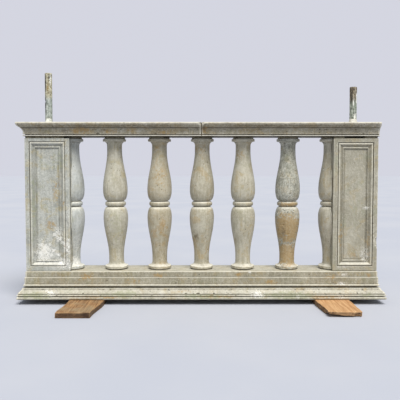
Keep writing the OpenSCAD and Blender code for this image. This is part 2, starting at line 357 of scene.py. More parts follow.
class Shader:
    """A material in the making. Each call adds a node and gives its output."""

    def __init__(self, name):
        self.material = bpy.data.materials.new(name)
        self.material.use_nodes = True
        self.tree = self.material.node_tree
        self.surface = self.tree.nodes["Principled BSDF"]
        self.place = self.new("TexCoord").outputs["Object"]

    def put(self, value, socket):
        if isinstance(value, bpy.types.NodeSocket):
            self.tree.links.new(value, socket)
        else:
            socket.default_value = value

    def new(self, kind, **inputs):
        """A new node, with these values or links in its inputs."""
        node = self.tree.nodes.new("ShaderNode" + kind)
        for name, value in inputs.items():
            self.put(value, node.inputs[name])
        return node

    def stretched(self, stretch, shift):
        away = (shift, 0.7 * shift, 1.3 * shift)
        return self.new("Mapping", Vector=self.place, Scale=stretch, Location=away).outputs[0]

    def noise(self, size, detail=4.0, gain=0.55, stretch=(1, 1, 1), shift=0.0, warp=0.0):
        node = self.new("TexNoise", Vector=self.stretched(stretch, shift), Scale=1 / size,
                        Detail=detail, Roughness=gain, Distortion=warp)
        return node.outputs["Fac"]

    def cells(self, size, shift):
        place = self.stretched((1, 1, 1), shift)
        return self.new("TexVoronoi", Vector=place, Scale=1 / size).outputs["Distance"]

    def mask(self, name):
        node = self.new("Attribute")
        node.attribute_name = name
        return node.outputs["Fac"]

    def ranged(self, value, low, high, to_low=0.0, to_high=1.0):
        ends = {"From Min": low, "From Max": high, "To Min": to_low, "To Max": to_high}
        node = self.new("MapRange", Value=value, **ends)
        node.interpolation_type = "SMOOTHSTEP"
        return node.outputs["Result"]

    def math(self, operation, a, b):
        node = self.new("Math")
        node.operation = operation
        self.put(a, node.inputs[0])
        self.put(b, node.inputs[1])
        return node.outputs["Value"]

    def times(self, a, b):
        return self.math("MULTIPLY", a, b)

    def mix(self, factor, a, b, blend="MIX"):
        """Mixes two colours. Each is a link, or a tone as a screen shows it."""
        node = self.new("Mix")
        node.data_type = "RGBA"
        node.blend_type = blend
        self.put(factor, node.inputs[0])
        for place, colour in ((6, a), (7, b)):
            self.put(tone(*colour) if isinstance(colour, tuple) else colour, node.inputs[place])
        return node.outputs[2]

    def laid(self, under, where, amount, over, blend="MIX"):
        """A colour laid over another where a mask is, and as strong as amount."""
        return self.mix(self.times(where, amount), under, over, blend)

    def patchy(self, name, size, detail, shift, low, high):
        """A mask broken up by clouds of noise."""
        clouds = self.noise(size, detail, shift=shift)
        return self.ranged(self.times(self.mask(name), clouds), low, high)

    def broken(self, name, size, reach=0.5):
        """A painted mask torn up by noise: the fainter the paint, the fewer the specks."""
        torn = self.noise(size, 6, 0.72, shift=3.0, warp=0.6)
        return self.ranged(self.math("ADD", self.times(self.mask(name), reach), torn), 0.74, 0.92)

    def curls(self, name, size):
        """Thin curling lines where a mask is painted."""
        line = self.line(self.noise(size, 3, 0.6, shift=3.0, warp=2.0), 0.045)
        return self.times(line, self.ranged(self.mask(name), 0.15, 0.8))

    def line(self, clouds, width):
        """Thin lines where clouds of noise pass their middle value."""
        away = self.math("ABSOLUTE", self.math("SUBTRACT", clouds, 0.5), 0.0)
        return self.ranged(away, 0.0, width, 1.0, 0.0)

    def bump(self, height, distance, below=None):
        node = self.new("Bump", Height=height, Strength=1.0, Distance=distance)
        if below is not None:
            self.put(below, node.inputs["Normal"])
        return node.outputs["Normal"]

    def done(self, colour, roughness, normal, specular, metallic=0.0):
        for name, value in (
            ("Base Color", colour), ("Roughness", roughness), ("Normal", normal),
            ("Specular IOR Level", specular), ("Metallic", metallic),
        ):
            self.put(value, self.surface.inputs[name])
        return self.material


def stone_body(s, deep, middle, light, warm, moss, shift, streaks, warmth, grainy):
    """Clouded tones with grain, veins and rain streaks."""
    cloud = s.ranged(s.noise(0.13, 5, 0.6, shift=shift, warp=0.6), 0.36, 0.66)
    mottle = s.ranged(s.noise(0.026, 7, 0.76, shift=shift + 4, warp=0.7), 0.42, 0.62)
    grain = s.ranged(s.noise(0.0085, 5, 0.8, shift=shift + 9), 0.40, 0.60)
    streak = s.ranged(s.noise(0.012, 6, 0.7, (1, 1, 0.1), shift + 2), 0.47, 0.62)
    vein = s.line(s.noise(0.05, 4, 0.62, (1, 1, 0.6), shift + 6, 1.6), 0.022)
    warm_patch = s.ranged(s.noise(0.07, 7, 0.72, shift=shift + 14, warp=0.8), 0.50, 0.62)
    moss_patch = s.ranged(s.noise(0.09, 6, 0.68, shift=shift + 21, warp=0.5), 0.52, 0.70)
    speck = s.ranged(s.noise(0.006, 4, 0.75, shift=shift + 17), 0.60, 0.70)
    colour = s.mix(cloud, middle, light)
    colour = s.mix(0.26 * (1 - grainy), colour, deep)
    colour = s.laid(colour, mottle, 0.52 * grainy, deep)
    colour = s.laid(colour, warm_patch, warmth, warm)
    colour = s.laid(colour, moss_patch, 0.45, moss)
    colour = s.laid(colour, streak, streaks, light)
    colour = s.laid(colour, vein, 0.3, (226, 222, 208))
    colour = s.mix(0.2 * (1 - grainy), colour, deep, "MULTIPLY")
    colour = s.laid(colour, grain, 0.42 * grainy, deep, "MULTIPLY")
    return s.laid(colour, speck, 0.3 * grainy, (232, 228, 214))


def stone_stains(s, colour, moss, washed_and_lit, dirt_and_shade, lime):
    """Dirt and painted shade in the hollows; pale worn arrises with a painted highlight; ledges
    and faces turned up lightened by bleaching and by painted light from above; the painted
    stains; and quirks and soffits blackened with dirt and painted shade.
    """
    # Hollows darkened: dirt and painted shade.
    hollow = s.patchy("hollow", 0.03, 4, 8, 0.05, 0.4)
    colour = s.laid(colour, hollow, dirt_and_shade, (96, 88, 68), "MULTIPLY")
    # Arrises lightened: wear and a painted highlight.
    colour = s.laid(colour, s.patchy("worn_and_highlit", 0.02, 4, 5, 0.12, 0.42), 0.5, (226, 221, 204))
    # Faces turned up and the listed bands lightened: bleaching and painted light from above.
    bleach_and_light = s.patchy("washed_and_lit", 0.03, 5, 15, 0.02, 0.5)
    colour = s.laid(colour, bleach_and_light, washed_and_lit, (238, 234, 220))
    colour = s.laid(colour, s.broken("green", 0.02), 0.55, moss)
    colour = s.laid(colour, s.broken("ochre", 0.014), 0.7, (163, 131, 76))
    colour = s.laid(colour, s.broken("soot_and_shade", 0.012), 0.6, (96, 84, 64))
    colour = s.laid(colour, lime, 0.85, (240, 238, 230))
    # Quirks and soffits blackened: dirt and painted shade.
    crust_and_shade = s.times(s.mask("dark_marks_and_shade"), s.ranged(s.noise(0.01, 3), 0.2, 0.5, 0.7, 1.0))
    return s.laid(colour, crust_and_shade, 0.9, (58, 50, 38))


def stone_relief(s, lime, shift, pitted):
    """Pits, grain and the thickness of the lime, as a bumped normal."""
    pit = s.ranged(s.cells(0.007, shift + 3), 0.0, 0.32)
    where = s.ranged(s.noise(0.05, 4, shift=shift + 30), 0.45, 0.62, 1.0 - pitted, 1.0)
    normal = s.bump(s.noise(0.012, 5, 0.65, shift=shift + 12), 0.0026)
    normal = s.bump(s.math("MAXIMUM", pit, where), 0.0012, normal)
    normal = s.bump(s.noise(0.0022, 4, 0.7, shift=shift), 0.0006, normal)
    return s.bump(lime, 0.0008, normal)


def stone(name, deep, middle, light, warm, moss, shift, streaks=0.6, pitted=0.3,
          washed_and_lit=0.6, dirt_and_shade=0.75, warmth=0.6, grainy=0.4):
    """Old limestone. The shift moves its noise, so that no two stones are alike."""
    s = Shader(name)
    lime = s.math("MAXIMUM", s.broken("lime", 0.010, 0.42), s.curls("lime", 0.042))
    colour = stone_body(s, deep, middle, light, warm, moss, shift, streaks, warmth, grainy)
    colour = stone_stains(s, colour, moss, washed_and_lit, dirt_and_shade, lime)
    roughness = s.ranged(s.noise(0.012, 4, 0.6, shift=shift + 7), 0.3, 0.7, 0.5, 0.66)
    return s.done(colour, roughness, stone_relief(s, lime, shift, pitted), 0.35)


def lime_mortar(name, light, dark, shift):
    """Sandy lime mortar with darker patches."""
    s = Shader(name)
    cloud = s.ranged(s.noise(0.02, 5, 0.65, shift=shift), 0.35, 0.68)
    sand = s.ranged(s.noise(0.0018, 3, 0.7, shift=shift + 5), 0.35, 0.7)
    colour = s.laid(s.mix(cloud, light, dark), sand, 0.35, dark, "MULTIPLY")
    normal = s.bump(s.noise(0.008, 5, 0.65, shift=shift), 0.0025)
    roughness = s.ranged(sand, 0.0, 1.0, 0.82, 0.97)
    return s.done(colour, roughness, s.bump(sand, 0.0006, normal), 0.2)


def old_iron(name, scale_tone, rust, pitting, paint_tone, shift, rust_from, rust_to):
    """Corroded iron: rust and dark scale at the top, limewash runs lower down."""
    s = Shader(name)
    height = s.new("SeparateXYZ", Vector=s.place).outputs["Z"]
    ragged = s.math("ADD", height, s.times(s.noise(0.02, 4, shift=shift), 0.05))
    upper = s.ranged(ragged, rust_from, rust_to)
    spotted = s.ranged(s.noise(0.007, 5, 0.7, shift=shift + 2), 0.4, 0.62)
    run = s.ranged(s.noise(0.009, 4, 0.6, (1, 1, 0.12), shift + 6), 0.5, 0.62)
    flaked = s.ranged(s.noise(0.012, 5, 0.7, shift=shift + 8), 0.35, 0.65)
    body = s.laid(s.mix(flaked, scale_tone, paint_tone), run, 0.85, (226, 226, 218))
    rusty = s.laid(s.mix(spotted, rust, pitting), run, 0.4, (214, 206, 184))
    colour = s.mix(upper, body, rusty)
    colour = s.laid(colour, s.broken("ochre", 0.008), 0.8, (146, 122, 72))
    colour = s.laid(colour, s.broken("soot_and_shade", 0.006), 0.9, (56, 51, 48))
    colour = s.laid(colour, s.broken("lime", 0.006), 0.9, (238, 238, 230))
    normal = s.bump(s.noise(0.006, 5, 0.7, shift=shift + 3), 0.0022)
    normal = s.bump(s.noise(0.0015, 3, 0.7, shift=shift + 1), 0.0006, normal)
    roughness = s.ranged(spotted, 0.0, 1.0, 0.62, 0.92)
    return s.done(colour, roughness, normal, 0.35, 0.15)


def wood(name, light, dark, weathered, amount, shift):
    """Sawn softwood: grain and fibre along the board, weathered patches, and dark faces from a
    mask, which are bark and painted shade.
    """
    s = Shader(name)
    grain = s.ranged(s.noise(0.012, 6, 0.65, (1, 0.045, 1.6), shift, 1.2), 0.35, 0.66)
    fibre = s.ranged(s.noise(0.003, 4, 0.7, (1, 0.03, 1), shift + 3), 0.35, 0.7)
    patch = s.ranged(s.noise(0.07, 5, 0.6, shift=shift + 7), 0.4, 0.66)
    colour = s.laid(s.mix(grain, light, dark), fibre, 0.35, dark, "MULTIPLY")
    colour = s.laid(colour, patch, amount, weathered)
    # Arrises lightened: wear and a painted highlight.
    colour = s.laid(colour, s.patchy("worn_and_highlit", 0.012, 4, 5, 0.1, 0.45), 0.4, light)
    colour = s.laid(colour, s.broken("soot_and_shade", 0.012), 0.75, (62, 44, 32))
    # Dark faces: bark on the right board's left side, darker fronts, and painted shade on the
    # left board's right side in the gap under the plinth.
    bark = s.times(s.mask("dark_marks_and_shade"), s.ranged(s.noise(0.02, 5), 0.3, 0.55, 0.55, 1.0))
    colour = s.mix(bark, colour, (58, 41, 31))
    roughness = s.ranged(grain, 0.0, 1.0, 0.66, 0.88)
    return s.done(colour, roughness, s.bump(fibre, 0.0006, s.bump(grain, 0.0010)), 0.25)


MOSS = (150, 154, 126)
# Name, deep, middle, light, warm and moss tones, shift, and what differs from other stones
STONES = (
    ("Left_pier_stone", (138, 139, 130), (173, 174, 166), (200, 201, 193), (184, 172, 136),
     MOSS, 1.0, {"dirt_and_shade": 0.28, "washed_and_lit": 0.5, "warmth": 0.75, "grainy": 0.65}),
    ("Right_pier_stone", (134, 129, 112), (168, 163, 145), (188, 183, 166), (176, 162, 128),
     MOSS, 5.0, {"streaks": 0.3, "dirt_and_shade": 0.35, "washed_and_lit": 0.5}),
    ("Base_stone", (122, 115, 94), (158, 151, 130), (182, 176, 156), (168, 150, 108),
     (142, 142, 108), 9.0, {"washed_and_lit": 0.27, "grainy": 0.6}),
    ("Plinth_stone", (124, 118, 98), (160, 154, 136), (190, 186, 170), (170, 152, 112),
     (142, 146, 110), 14.0, {"washed_and_lit": 0.24, "warmth": 0.7, "grainy": 0.6}),
    ("Coping_stone", (122, 113, 92), (160, 152, 132), (190, 184, 166), (168, 148, 106),
     (138, 132, 102), 19.0, {"streaks": 0.3, "washed_and_lit": 0.68, "grainy": 0.8}),
    ("Baluster_stone_1", (146, 140, 120), (184, 178, 158), (210, 206, 190), (186, 172, 134),
     (162, 162, 134), 23.0, {}),
    ("Baluster_stone_2", (136, 124, 98), (172, 162, 136), (200, 193, 172), (182, 154, 108),
     (154, 150, 120), 28.0, {}),
    ("Baluster_stone_3", (134, 124, 102), (176, 169, 147), (204, 199, 180), (180, 158, 116),
     (152, 150, 120), 33.0, {}),
    ("Baluster_stone_4", (140, 132, 110), (178, 172, 151), (206, 201, 183), (180, 162, 122),
     (156, 154, 124), 38.0, {}),
    ("Baluster_stone_5", (112, 110, 98), (172, 170, 154), (204, 203, 190), (172, 150, 108),
     (142, 144, 122), 43.0, {"pitted": 1.0, "warmth": 0.4, "grainy": 1.1}),
    ("Left_half_stone", (144, 147, 140), (188, 190, 184), (212, 214, 210), (186, 180, 156),
     MOSS, 48.0, {"warmth": 0.35}),
    ("Right_half_stone", (138, 132, 112), (178, 171, 151), (204, 199, 182), (180, 162, 122),
     MOSS, 53.0, {}),
)


# ------ mouldings


def eased(a, b, t):
    return a + (b - a) * (1 - math.cos(math.pi * t)) / 2


def shares(count):
    return [i / count for i in range(count + 1)]


def plinth_moulding():
    foot = [(36, 0), (40, 2), (42, 5.5), (42, 11), (40.5, 13), (37.5, 15), (37, 19), (41, 21)]
    tread = [(41, 25), (39, 26), (33.5, 27), (33, 29.5)]
    sweep = [(eased(36, 19, t), 31 + 23 * t) for t in shares(10)]
    return foot + tread + sweep + [(17, 57)]


def base_moulding():
    foot = [(8, 0), (9, 3), (13, 4), (14, 5.5), (14, 9), (8, 13.5)]
    return foot + [(8, 47.5), (4, 49), (3, 50.5), (4, 53), (4, 77), (2, 79)]


def coping_moulding():
    bead = [(2, 0), (6.5, 1.6), (7.5, 3), (7.5, 5.4), (6, 6.6), (-3, 7), (-3, 10.5)]
    cove = [(6.5 + 5.5 * t - 2 * math.sin(math.pi * t), 11 + 27.6 * t) for t in shares(8)]
    under = [(17, 39.4), (17, 43), (19, 45), (24, 47.5), (29, 51), (33, 55.5), (35.5, 60)]
    nose = [(37, 64), (37, 67), (36, 69.6), (33.5, 71.4), (30, 72)]
    return bead + cove + under + nose


# How far in from the pier's edge, and how far below its face
PANEL_LINE = [(0, 0), (22, 0), (22.6, 6), (25, 6), (26.5, 3.2), (28.5, 1.6), (31, 1), (33, 1.8),
              (35.5, 4), (38, 6.8), (41, 9.3), (44, 10.6), (46, 11), (48.2, 11), (50, 8),
              (51.4, 7.3), (52.8, 7), (54, 13), (400, 13)]


def baluster_outline(half_height):
    """Radius and height of the upper half of a baluster, from its middle up."""
    tens = [math.radians(k) for k in range(0, 91, 10)]
    nines = [math.radians(k) for k in range(9, 91, 9)]
    ring = [(45.5 + 9.5 * math.cos(a), 12.5 * math.sin(a)) for a in tens]
    belly = [(44.5 + 20.5 * math.sin(a), 72 - 56.5 * math.cos(a)) for a in nines]
    disc_z = half_height - 14.5
    neck_z = disc_z - 49
    fall = [(eased(65, 39.5, t), 72 + (neck_z - 72) * t) for t in shares(24)[1:]]
    flare = [(39.5 + 16 * (1 - math.cos(a)), neck_z + 25 + 22 * math.sin(a)) for a in tens]
    flare[-1] = (55, disc_z - 2)
    disc = [(61, disc_z - 1.5), (61, disc_z + 11.5), (56, disc_z + 12.3), (56, half_height)]
    return ring + [(44.5, 13.5), (44.5, 15.5)] + belly + fall + flare + disc


# ------ the stones

PIER_LOW, PIER_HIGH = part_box("left_pier")
HALF_DEPTH = PIER_HIGH.y
OUT_X = -PIER_LOW.x
IN_X = -PIER_HIGH.x
HALF_INSET = 0.006  # how far a half baluster's axis lies inside its pier
TINT = {name: stone(name, *tones, **differs) for name, *tones, differs in STONES}


def course(node, moulding, x_low, x_high, low_moulded, high_moulded, top="plain", step=0.006):
    """A course of moulded stone. low_moulded and high_moulded are 1 where the moulding is
    returned round that end, and 0 where the end is a flat cut."""
    z_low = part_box(node)[0].z
    wide = max(2, round((x_high - x_low) / step))
    deep = max(2, round(2 * HALF_DEPTH / step))
    levels = []
    for out, height in resampled(moulding, 3.0):
        reach = out * MM
        flat = rectangle_ring(
            x_low - reach * low_moulded, x_high + reach * high_moulded,
            -HALF_DEPTH - reach, HALF_DEPTH + reach, wide, deep,
        )
        levels.append(at_height(flat, z_low + height * MM))
    return closed_sleeve(levels, wide, deep, last=top)


def pier_lines(width, step):
    """Places of the grid lines across a pier: close together over the moulding."""
    edge = np.sort([2, 5, 10, 16, 20, 23.8] + [away for away, _ in PANEL_LINE[:-1]]) * MM
    count = max(2, round((width - 2 * edge[-1]) / step))
    field = np.linspace(edge[-1], width - edge[-1], count + 1)[1:-1]
    return np.concatenate([edge, field, width - edge[::-1]])


def pier(node, raised):
    """A pier with a sunk panel in its front and its back, and where its quirks are blackened with
    dirt and painted shade.
    The top of the panel's moulding is raised by so much."""
    low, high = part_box(node)
    width, height = high.x - low.x, high.z - low.z
    xs = pier_lines(width, 0.005)
    zs = pier_lines(height + raised, 0.0055)
    zs = np.append(zs[zs < height - 0.0005], height)
    inset, depth = np.array(PANEL_LINE).T * MM
    levels = []
    quirks = []
    for z in zs:
        flat = rectangle_ring(low.x, high.x, low.y, high.y, xs / width, 26)
        from_edge = np.minimum(flat[:, 0] - low.x, high.x - flat[:, 0])
        from_edge = np.minimum(from_edge, min(z, height + raised - z))
        sunk = np.interp(from_edge, inset, depth)
        on_face = (flat[:, 1] <= low.y) | (flat[:, 1] >= high.y)
        # The panel's quirks near its edge, to be blackened with dirt and painted shade.
        quirks.append(on_face * step_between(sunk, 0.004, 0.0055) * (from_edge < 0.0262))
        flat[:, 1] += np.where(flat[:, 1] <= low.y, sunk, 0)
        flat[:, 1] -= np.where(flat[:, 1] >= high.y, sunk, 0)
        levels.append(at_height(flat, low.z + z))
    return closed_sleeve(levels), np.concatenate(quirks)


def full_outline(half_height):
    upper = resampled(baluster_outline(half_height), 3.8)
    return [(r, -z) for r, z in reversed(upper[1:])] + upper


def baluster(node, lean, around=112):
    """A turned baluster. lean is how far its top stands to the right of its foot."""
    low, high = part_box(node)
    x, y, middle = (low.x + high.x) / 2, (low.y + high.y) / 2, (low.z + high.z) / 2
    half_height = (high.z - low.z) / 2
    angles = np.linspace(0, 2 * math.pi, around, endpoint=False)
    levels = []
    for r, z in full_outline(half_height / MM):
        shift = lean * z * MM / (2 * half_height)
        levels.append(at_height(circle(x + shift, y, r * MM, angles), middle + z * MM))
    return closed_sleeve(levels)


def half_ring(side, r, around, back):
    """A ring about a half baluster's axis, cut off flat along the inner face of its pier,
    with so many points on the cut. side is -1 on the left and 1 on the right."""
    widest = math.acos(HALF_INSET / r)
    angles = np.linspace(-widest, widest, around)
    arc_y = -r * np.sin(angles)
    ring_x = np.concatenate([IN_X + HALF_INSET - r * np.cos(angles), np.full(back, IN_X)])
    ring_y = np.concatenate([arc_y, np.linspace(arc_y[-1], arc_y[0], back + 2)[1:-1]])
    return np.column_stack([side * ring_x, ring_y])[::side]


def half_baluster(node, side):
    low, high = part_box(node)
    middle, half_height = (low.z + high.z) / 2, (high.z - low.z) / 2
    return closed_sleeve([
        at_height(half_ring(side, r * MM, 60, 6), middle + z * MM)
        for r, z in full_outline(half_height / MM)
    ])


def joined(solids):
    """Several solids as one piece."""
    points, quads, plain, used = [], [], [], 0
    for solid in solids:
        points.append(solid.points)
        quads.append(solid.quads + used)
        plain += [[k + used for k in face] for face in solid.plain_faces]
        used += len(solid.points)
    return Solid(np.concatenate(points), np.concatenate(quads), plain)


def turned(x, outline, around):
    """Rings of a turned shape about the upright line at x. outline is (radius, height)."""
    angles = np.linspace(0, 2 * math.pi, around, endpoint=False)
    return [at_height(circle(x, 0.0, r, angles), z) for r, z in outline]


# Each spot of a stain: x, z, its half width, its half height, and how strong it is
PLINTH_STAINS = {
    "green": [(-0.41, 0.055, 0.14, 0.03, 0.85), (0.02, 0.045, 0.22, 0.02, 0.8),
              (0.45, 0.05, 0.24, 0.03, 0.85), (-0.85, 0.05, 0.12, 0.03, 0.9),
              (0.85, 0.05, 0.1, 0.02, 0.7)],
    "lime": [(0.29, 0.055, 0.045, 0.024, 0.95), (0.49, 0.045, 0.022, 0.014, 0.8),
             (-0.78, 0.062, 0.05, 0.02, 0.85), (0.715, 0.04, 0.02, 0.015, 0.75),
             (-0.2, 0.06, 0.04, 0.012, 0.6)],
    "ochre": [(0.08, 0.045, 0.16, 0.012, 0.7), (0.62, 0.04, 0.12, 0.012, 0.7),
              (-0.5, 0.04, 0.2, 0.01, 0.7), (-0.1, 0.07, 0.08, 0.01, 0.6)],
    # Two long thin dark bands along the foot of the front.
    "soot_and_shade": [(-0.15, 0.033, 0.5, 0.006, 0.6), (0.55, 0.035, 0.3, 0.008, 0.6)],
}
BASE_STAINS = {
    "ochre": [(-0.216, 0.15, 0.05, 0.016, 0.8), (0.36, 0.115, 0.05, 0.02, 0.85),
              (0.19, 0.15, 0.03, 0.02, 0.8), (0.67, 0.14, 0.05, 0.03, 0.7),
              (-0.6, 0.14, 0.05, 0.03, 0.8), (0.87, 0.15, 0.03, 0.02, 0.75),
              (-0.35, 0.12, 0.08, 0.03, 0.6)],
    "lime": [(0.74, 0.15, 0.03, 0.01, 0.8), (0.73, 0.105, 0.03, 0.012, 0.85),
             (-0.26, 0.1, 0.01, 0.006, 0.8), (0.25, 0.165, 0.01, 0.008, 0.75)],
    "green": [(-0.12, 0.11, 0.2, 0.02, 0.5), (0.5, 0.11, 0.15, 0.02, 0.5)],
}


def make_plinth():
    solid = course("plinth_course", plinth_moulding(), -OUT_X, OUT_X, 1, 1)
    weather(solid, 101, chips=60, wave=0.0008, pits=0.001, wear=0.4)
    piece("Plinth_course", solid, TINT["Plinth_stone"], "plinth_course",
          PLINTH_STAINS)


def make_base():
    solid = course("base_course", base_moulding(), -OUT_X, OUT_X, 1, 1, "grid")
    weather(solid, 131, chips=40, pits=0.0007)
    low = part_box("base_course")[0].z
    # Painted highlights on the lit fillets of the base.
    pale = [(low + 0.005, low + 0.0125), (low + 0.0485, low + 0.051)]
    piece("Base_course", solid, TINT["Base_stone"], "base_course",
          BASE_STAINS, pale)


SPLASH = [(-0.69 - 0.02 * k % 0.09, 0.19 + 0.021 * k, 0.025, 0.016, 0.95) for k in range(8)]
PIER_STAINS = {
    "left_pier": {
        "lime": [(-0.72, 0.21, 0.06, 0.04, 0.95), (-0.7, 0.3, 0.03, 0.08, 0.8),
                 (-0.82, 0.27, 0.06, 0.08, 1.0), (-0.75, 0.36, 0.05, 0.05, 0.8),
                 (-0.79, 0.42, 0.07, 0.05, 0.3), (-0.69, 0.45, 0.02, 0.1, 0.5)] + SPLASH,
        "ochre": [(-0.785, 0.41, 0.05, 0.035, 0.78), (-0.715, 0.52, 0.014, 0.03, 0.8),
                  (-0.755, 0.6, 0.035, 0.12, 0.62), (-0.77, 0.76, 0.03, 0.07, 0.5),
                  (-0.705, 0.3, 0.02, 0.08, 0.6)],
        "green": [(-0.87, 0.5, 0.03, 0.3, 0.7), (-0.74, 0.75, 0.06, 0.08, 0.7)],
    },
    "right_pier": {
        "lime": [(0.858, 0.5, 0.022, 0.014, 0.85), (0.85, 0.25, 0.03, 0.05, 0.75),
                 (0.73, 0.19, 0.04, 0.012, 0.6)],
        "ochre": [(0.72, 0.35, 0.02, 0.15, 0.6), (0.79, 0.26, 0.05, 0.05, 0.6),
                  (0.87, 0.3, 0.02, 0.12, 0.6)],
        "green": [(0.72, 0.18, 0.03, 0.05, 0.6), (0.8, 0.5, 0.05, 0.2, 0.5)],
    },
}
# Node, slot, seed, how far the top of the panel is raised, and how black its quirk is, with dirt
# and painted shade
PIERS = (
    ("left_pier", "grey_stone", 201, 0.006, 0.55),
    ("right_pier", "pale_stone", 241, 0.002, 0.75),
)


def make_piers():
    for node, slot, seed, raised, black in PIERS:
        solid, quirks = pier(node, raised)
        weather(solid, seed, chips=30, chip_size=0.006, wave=0.0005, pits=0.0005, wear=0.2)
        if node == "right_pier":
            chip_at(solid, (0.912, -HALF_DEPTH, 0.33), 0.016, 0.006, 8)
            chip_at(solid, (0.911, -HALF_DEPTH, 0.31), 0.014, 0.005, 9)
        name = node.capitalize() + "_stone"
        piece(name, solid, TINT[name], node, PIER_STAINS[node], dark_marks_and_shade=quirks * black)


BALUSTER_LEANS = {1: -0.008, 3: 0.004, 5: 0.003}
BALUSTER_STAINS = {
    1: {"green": [(-0.45, 0.4, 0.05, 0.2, 0.6), (-0.46, 0.7, 0.03, 0.12, 0.6)]},
    2: {"ochre": [(-0.22, 0.66, 0.06, 0.12, 0.6), (-0.2, 0.4, 0.05, 0.08, 0.58),
                  (-0.23, 0.82, 0.05, 0.03, 0.6)]},
    3: {"soot_and_shade": [(-0.03, 0.345, 0.022, 0.025, 0.85), (-0.035, 0.7, 0.012, 0.03, 0.7)],
        "ochre": [(0.0, 0.8, 0.05, 0.05, 0.6), (-0.04, 0.33, 0.03, 0.06, 0.6)]},
    4: {"ochre": [(0.2, 0.78, 0.04, 0.06, 0.65), (0.24, 0.3, 0.03, 0.06, 0.5)]},
    5: {"ochre": [(0.45, 0.39, 0.13, 0.11, 1.0), (0.455, 0.25, 0.13, 0.09, 1.0),
                  (0.455, 0.515, 0.09, 0.016, 1.0), (0.43, 0.8, 0.03, 0.02, 0.5)],
        "green": [(0.45, 0.72, 0.05, 0.12, 0.6)],
        "soot_and_shade": [(0.43, 0.19, 0.03, 0.01, 0.8), (0.43, 0.37, 0.02, 0.1, 0.7),
                 (0.48, 0.28, 0.02, 0.06, 0.6), (0.44, 0.76, 0.03, 0.05, 0.35)]},
}


def make_balusters():
    for n in range(1, 6):
        node = f"baluster_{n}"
        name = f"Baluster_stone_{n}"
        solid = baluster(node, BALUSTER_LEANS.get(n, 0.0))
        pits = 0.0016 if n == 5 else 0.0008
        weather(solid, 300 + 30 * n, chips=14, pits=pits, wear=0.6)
        piece(name, solid, TINT[name], node, BALUSTER_STAINS[n])


def make_half_balusters():
    for side, node in ((-1, "left_half_baluster"), (1, "right_half_baluster")):
        solid = half_baluster(node, side)
        weather(solid, 520 + side, chips=8, chip_size=0.01, wear=0.6)
        stains = {"lime": [(-0.66, 0.21, 0.05, 0.035, 0.95), (-0.65, 0.3, 0.04, 0.06, 0.6)]}
        material = TINT["Left_half_stone" if side < 0 else "Right_half_stone"]
        piece(node.capitalize() + "_stone", solid, material, node, stains)


COPING_STAINS = {
    "Left_coping_stone": {
        "ochre": [(-0.62, 0.9, 0.08, 0.02, 0.85), (-0.47, 0.895, 0.06, 0.02, 0.8),
                  (-0.35, 0.9, 0.05, 0.02, 0.7), (-0.2, 0.89, 0.08, 0.02, 0.7)],
        # The long thin band at 0.921 is painted shade under the nosing; the other spots are soot.
        "soot_and_shade": [(-0.7, 0.895, 0.04, 0.02, 0.8), (-0.5, 0.9, 0.05, 0.01, 0.7),
                 (-0.47, 0.921, 0.6, 0.009, 0.85), (-0.25, 0.885, 0.1, 0.01, 0.6)],
        "green": [(-0.8, 0.895, 0.06, 0.02, 0.8), (-0.4, 0.885, 0.1, 0.01, 0.7)],
    },
    "Right_coping_stone": {
        # The long thin band at 0.921 is painted shade under the nosing; the other spots are soot.
        "soot_and_shade": [(0.012, 0.91, 0.02, 0.02, 0.85), (0.3, 0.905, 0.03, 0.01, 0.7),
                 (0.55, 0.92, 0.05, 0.012, 0.6), (0.46, 0.921, 0.6, 0.009, 0.85)],
        "ochre": [(0.014, 0.9, 0.02, 0.03, 0.9)],
        "green": [(0.4, 0.9, 0.2, 0.02, 0.5), (0.85, 0.91, 0.06, 0.03, 0.7)],
    },
}


def make_copings():
    joint_low, joint_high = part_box("coping_joint")
    left = course("left_coping", coping_moulding(), -OUT_X, joint_low.x, 1, 0, "grid")
    cut_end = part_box("right_coping")[1].x
    right = course("right_coping", coping_moulding(), joint_high.x, cut_end, 0, 0, "grid")
    front = -HALF_DEPTH - 0.03
    for k in range(5):
        chip_at(right, (0.002 + 0.008 * k, front, 0.895 + 0.009 * (k % 3)), 0.009, 0.003, 31 + k)
    chip_at(left, (joint_low.x, front, 0.93), 0.010, 0.003, 41)
    for solid, node, seed in ((left, "left_coping", 611), (right, "right_coping", 641)):
        weather(solid, seed, chips=34)
        name = node.capitalize() + "_stone"
        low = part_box(node)[0].z
        # Painted highlight on the front of the bead.
        bead = [(low + 0.0028, low + 0.0064)]
        # The quirk above the bead is blackened with dirt and painted shade, and the soffit below
        # it with painted shade.
        quirk = [(low + 0.0076, low + 0.0100), (low - 0.002, low + 0.0016)]
        piece(name, solid, TINT["Coping_stone"], node, COPING_STAINS[name],
              bead, quirk)


# ------ mortar


def bed_discs(node, bed_r, lost):
    """Ragged round beds. lost gives, for a baluster, the arcs that have fallen out."""
    z_low, z_high = (corner.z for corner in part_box(node))
    heights = np.linspace(z_low, z_high, 3)
    solids = []
    for n in range(1, 6):
        low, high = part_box(f"baluster_{n}")
        x = (low.x + high.x) / 2
        disc = closed_sleeve(turned(x, [(bed_r, z) for z in heights], 72))
        angle = np.degrees(np.arctan2(disc.points[:, 1], disc.points[:, 0] - x))
        pull_in = 0.0015 + 0.0015 * rough(disc.points, 0.014, 700 + n, 2)
        for start, stop in lost.get(n, []):
            pull_in += 0.02 * step_between(angle, start, start + 8) * (
                1 - step_between(angle, stop - 8, stop))
        away = disc.points[:, :2] - (x, 0)
        length = np.linalg.norm(away, axis=1)[:, None]
        disc.points[:, :2] -= away / length * np.clip(pull_in, 0, 0.03)[:, None]
        solids.append(disc)
    for side in (-1, 1):
        ring = half_ring(side, bed_r - 0.002, 36, 0)
        solids.append(closed_sleeve([at_height(ring, z) for z in heights]))
    return joined(solids)


